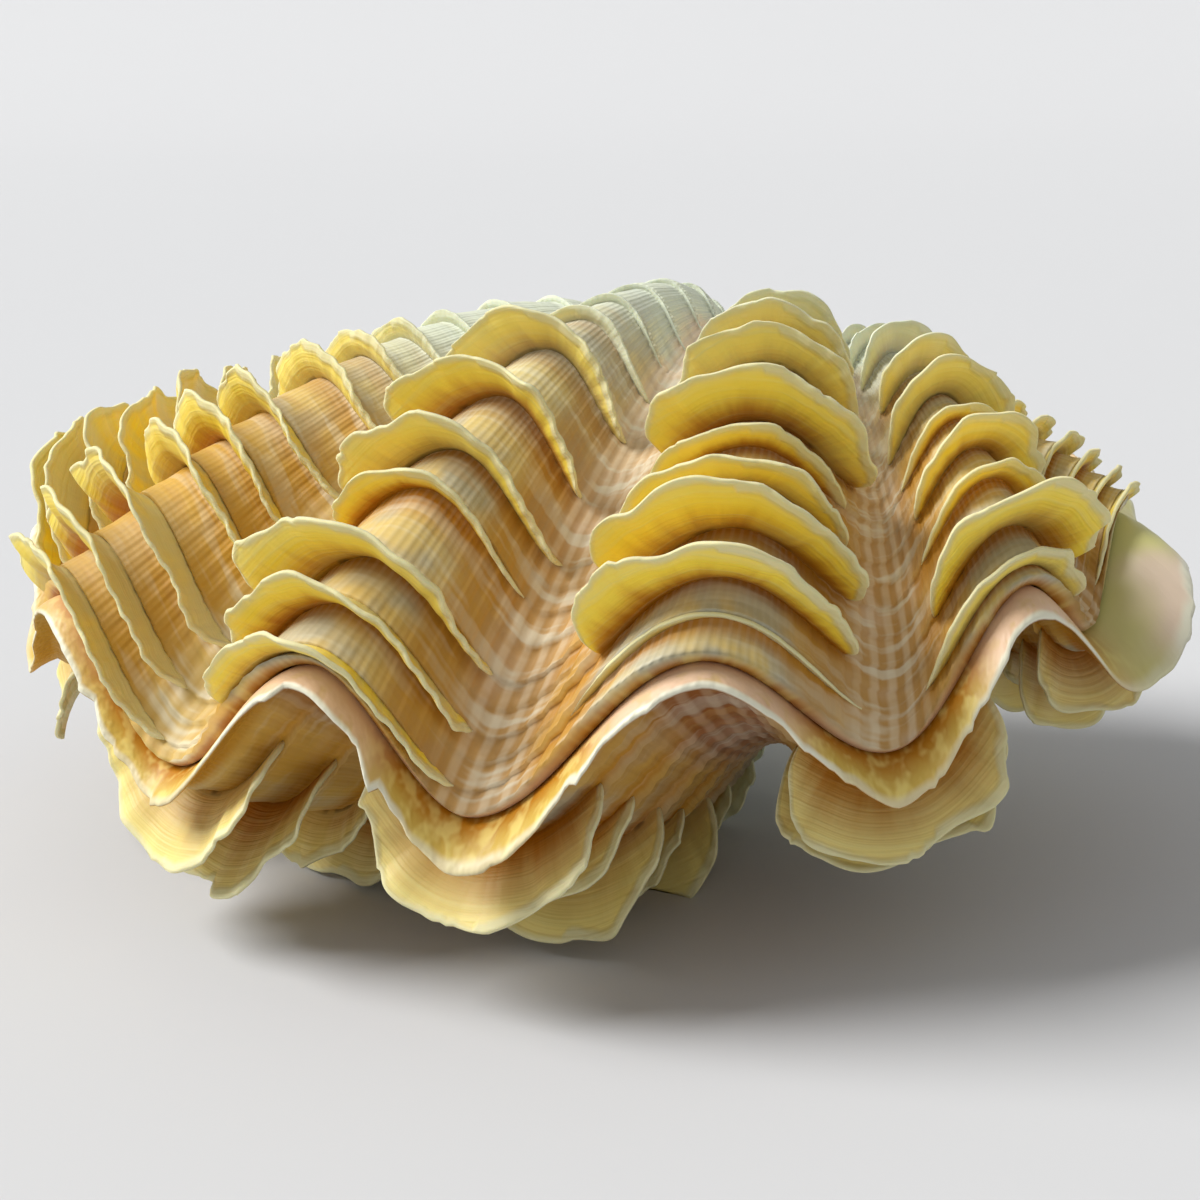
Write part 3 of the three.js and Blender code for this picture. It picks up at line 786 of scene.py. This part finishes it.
def scute_material(name, root_shade_colour, top_colour):
    """Leaves: deep gold and olive at the root as painted shade, paler towards the rim as painted
    light, cream behind, with a pale rim and dark brown patches along some roots.

    The rim is widest on the right flanks, and the oldest leaves are worn white.
    """
    paint = Paint(name)
    rise, face, growth = paint.field("rise"), paint.field("face"), paint.field("growth")
    phase, high, tint = paint.field("phase"), paint.field("high"), paint.field("tint")
    cloud = paint.noise(45.0, 2.0, 0.6)
    patch = paint.noise(160.0, 2.0, 0.6)
    streaks = paint.noise(1.0, 2.0, 0.6, paint.place(phase * 2.0, rise * 0.7, growth * 40))
    bands = paint.noise(1.0, 2.0, 0.6, paint.place(phase * 0.15, high * 0.9, growth * 40))
    young = paint.step(growth + (cloud - 0.5) * 0.25, 0.55, 0.85)

    # painted shade: the front face is dark gold or the root shade colour at the root, rising to the
    # top colour
    low = paint.mix(paint.step(tint + cloud - 0.5, 0.3, 0.7), SHADED_GOLD, root_shade_colour)
    front = paint.mix(paint.step(rise + (streaks - 0.5) * 0.4, 0.1, 0.75), low, top_colour)
    front = paint.mix(paint.step(cloud + (tint - 0.5) * 0.4, 0.45, 0.7) * 0.4, front, PALE_YELLOW)
    # painted light: paler yellow towards the rim, where light shines through the thin edge
    front = paint.mix(paint.step(rise + (bands - 0.5) * 0.5, 0.6, 1.1) * 0.7, front, PALE_YELLOW)
    behind = paint.mix(paint.step(cloud, 0.4, 0.65), CREAM, top_colour)
    behind = paint.mix(paint.step(riblet_crest(paint, phase, cloud), 0.4, 1.0) * 0.3, behind, CREAM)
    colour = paint.mix(paint.step(face, 0.25, 0.75), behind, front)
    colour = paint.mix(paint.step(bands, 0.5, 0.7) * 0.2, colour, CREAM)
    colour = paint.mix((1 - young) * 0.25, colour, GREEN_CREAM)
    edge = paint.step(paint.field("rim") + (patch - 0.5) * 1.5, 2.0, 0.8)
    colour = paint.mix(edge * 0.8, colour, RIM)
    # dark brown in patches along the root of some leaves
    root_brown = paint.step(rise, 0.16, 0.06) * paint.step(patch + (tint - 0.5) * 0.3, 0.52, 0.62)
    colour = paint.mix(root_brown * 0.6, colour, BROWN)
    worn = 1 - paint.step(growth + (cloud - 0.5) * 0.3, 0.46, 0.68)
    colour = paint.mix(worn * 0.75, colour, UMBO_WHITE)
    relief = streaks * 0.5 + bands * 0.6 + patch * edge
    return paint.finish(colour, 0.5 + 0.25 * edge, relief, 0.0005, SOFT_LIGHT)


def ligament_material():
    """Dried horny ligament: dark brown fibres with pale cracks."""
    paint = Paint("dried_ligament")
    where = paint.place(paint.field("along") * 6, paint.field("around") * 14)
    fibres = paint.noise(1.0, 4.0, 0.6, where)
    colour = paint.mix(paint.step(fibres, 0.4, 0.7), BROWN, tone(128, 92, 56))
    return paint.finish(colour, 0.5 + 0.2 * fibres, fibres, 0.0006)


# ---- ligament -----------------------------------------------------------------------------

LIGAMENT_DEEPER, LIGAMENT_FORWARD = 1.7, 0.0018          # so that it meets both hinge edges
LIGAMENT_THINNER = 0.97
LIGAMENT_COLUMNS, LIGAMENT_SIDES = 90, 40
LIGAMENT_ENDS, LIGAMENT_LEAST = 2.6, 0.0009      # power that rounds its ends, and their least size
RIDGES, RIDGE_SLANT, RIDGE_DEPTH = 9, 3, 0.05
KNOTS, KNOT_BENDS, KNOT_DEPTH = 21, 2, 0.06


def ligament():
    """A flattened bead along the hinge: an ellipse swept from end to end, pinched into fibres."""
    low, high = (np.array(corner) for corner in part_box("hinge_ligament"))
    middle, size = (low + high) / 2, (high - low) / 2
    around = np.linspace(0, 2 * np.pi, LIGAMENT_SIDES + 1)[:-1, None]
    along = np.linspace(-1, 1, LIGAMENT_COLUMNS) + 0 * around
    around = around + 0 * along
    body = np.sqrt(np.maximum(1 - np.abs(along) ** LIGAMENT_ENDS, LIGAMENT_LEAST))
    ridges = 1 - RIDGE_DEPTH * (1 + np.sin(around * RIDGES + along * RIDGE_SLANT)) * 0.5
    knots = 1 - KNOT_DEPTH * (1 + np.sin(along * KNOTS + np.sin(around * KNOT_BENDS)))
    y = np.cos(around) * body * ridges
    z = np.sin(around) * body * ridges * knots
    points = (np.stack([along, y, z], -1) * size) @ REST_TURN.T
    points = points * [1, LIGAMENT_DEEPER, LIGAMENT_THINNER] + middle - [0, LIGAMENT_FORWARD, 0]
    fields = {"along": along.ravel(), "around": np.sin(around).ravel()}
    faces = ring_grid_faces(LIGAMENT_SIDES, LIGAMENT_COLUMNS)
    make_piece("hinge_ligament_fibres", points.reshape(-1, 3), faces, fields, ligament_material(),
               "hinge_ligament")


# ---- shell --------------------------------------------------------------------------------

def build_shell():
    """Both walls, the leaves of every rib, and the ligament."""
    upper_wall = wall_material("upper_wall", AMBER, 1.0)
    # painted shade: the lower wall's young floor is deep amber for its shaded underside
    lower_wall = wall_material("lower_wall", SHADED_UNDERSIDE_AMBER, 0.45)
    # painted shade: the olive and amber given here colour the leaves' roots as shade
    upper_leaf = scute_material("upper_leaf", ROOT_SHADE_OLIVE, YELLOW)
    lower_leaf = scute_material("lower_leaf", AMBER, SAND)
    valve_wall(UPPER, "upper_valve", upper_wall)
    valve_wall(LOWER, "lower_valve", lower_wall)
    for rib in range(len(UPPER.ribs)):
        name = f"upper_scutes_{rib + 1}"
        rib_scutes(UPPER, rib, name, upper_leaf, "upper_valve")
    for rib in range(len(LOWER.ribs)):
        name = f"lower_scutes_{rib + 1}"
        rib_scutes(LOWER, rib, name, lower_leaf, "lower_valve")
    ligament()


# ---- stage --------------------------------------------------------------------------------

VIEW_AZIMUTH, VIEW_ELEVATION, VIEW_ROLL = 22.2, 22.1, -4.5
VIEW_DISTANCE, VIEW_LENS, SENSOR = 360.0, 62.4, 36.0
VIEW_ASIDE, VIEW_UP = 1.05, -4.35
KEY_TOWARD, KEY_SOFTNESS, KEY_POWER = (-0.68, -0.2, 0.7), 32, 3.9
SKY, SKY_POWER = (0.97, 0.99, 1.0, 1), 0.45
PAPER, PAPER_ROUGHNESS = (0.57, 0.57, 0.575, 1), 0.8
FLOOR_NEAR, FLOOR_FAR, FLOOR_HALF, WALL_BEND, WALL_HEIGHT = -3.0, 1.5, 6.0, 1.5, 6.0
BEND_STEPS = 24


def add_camera():
    """Camera at an azimuth and elevation measured from the plane between the valves."""
    azimuth, elevation, roll = np.radians([VIEW_AZIMUTH, VIEW_ELEVATION, VIEW_ROLL])
    level = np.cos(elevation)
    look = np.array([-np.sin(azimuth) * level, np.cos(azimuth) * level, -np.sin(elevation)])
    flat = np.array([np.cos(azimuth), np.sin(azimuth), 0])
    rise = np.cross(flat, look)
    right = np.cos(roll) * flat + np.sin(roll) * rise
    top = np.cos(roll) * rise - np.sin(roll) * flat
    target = np.array([0, -SHELL_HEIGHT / 2, 0]) + right * VIEW_ASIDE + top * VIEW_UP
    place = (target - look * VIEW_DISTANCE) @ REST_TURN.T + UMBO_PLACE
    axes = np.array([right, top, -look]) @ REST_TURN.T
    camera = bpy.data.objects.new("camera", bpy.data.cameras.new("camera"))
    camera.data.sensor_width = SENSOR
    camera.data.lens = VIEW_LENS
    turn = Matrix(axes.T.tolist()).to_4x4()
    camera.matrix_world = Matrix.Translation(Vector(place * MM)) @ turn
    bpy.context.scene.collection.objects.link(camera)
    bpy.context.scene.camera = camera


def add_light(name, toward, softness, power):
    """A distant soft light that shines from the direction given."""
    light = bpy.data.lights.new(name, "SUN")
    light.angle = np.radians(softness)
    light.energy = power
    lamp = bpy.data.objects.new(name, light)
    lamp.rotation_euler = Vector(toward).to_track_quat("Z", "Y").to_euler()
    bpy.context.scene.collection.objects.link(lamp)


def add_stage():
    """A pale floor that bends up into a wall behind, one soft light from the left, an even sky."""
    bend = np.linspace(0, np.pi / 2, BEND_STEPS)
    back = FLOOR_FAR + WALL_BEND
    y = np.concatenate([[FLOOR_NEAR], FLOOR_FAR + WALL_BEND * np.sin(bend), [back]])
    z = np.concatenate([[0], WALL_BEND * (1 - np.cos(bend)), [WALL_HEIGHT]])
    corners = [(x, *row) for row in zip(y.tolist(), z.tolist()) for x in (-FLOOR_HALF, FLOOR_HALF)]
    strips = [(k, k + 1, k + 3, k + 2) for k in range(0, len(corners) - 2, 2)]
    mesh = bpy.data.meshes.new("floor")
    mesh.from_pydata(corners, [], strips)
    mesh.polygons.foreach_set("use_smooth", np.ones(len(strips), bool))
    floor = bpy.data.objects.new("floor", mesh)
    bpy.context.scene.collection.objects.link(floor)
    paper = bpy.data.materials.new("pale_paper")
    paper.use_nodes = True
    sheet = paper.node_tree.nodes["Principled BSDF"].inputs
    sheet["Base Color"].default_value = PAPER
    sheet["Roughness"].default_value = PAPER_ROUGHNESS
    mesh.materials.append(paper)
    world = bpy.data.worlds.new("sky")
    world.use_nodes = True
    world.node_tree.nodes["Background"].inputs["Color"].default_value = SKY
    world.node_tree.nodes["Background"].inputs["Strength"].default_value = SKY_POWER
    bpy.context.scene.world = world
    bpy.context.scene.view_settings.view_transform = "Standard"
    add_light("key", KEY_TOWARD, KEY_SOFTNESS, KEY_POWER)


add_camera()
build_shell()
add_stage()
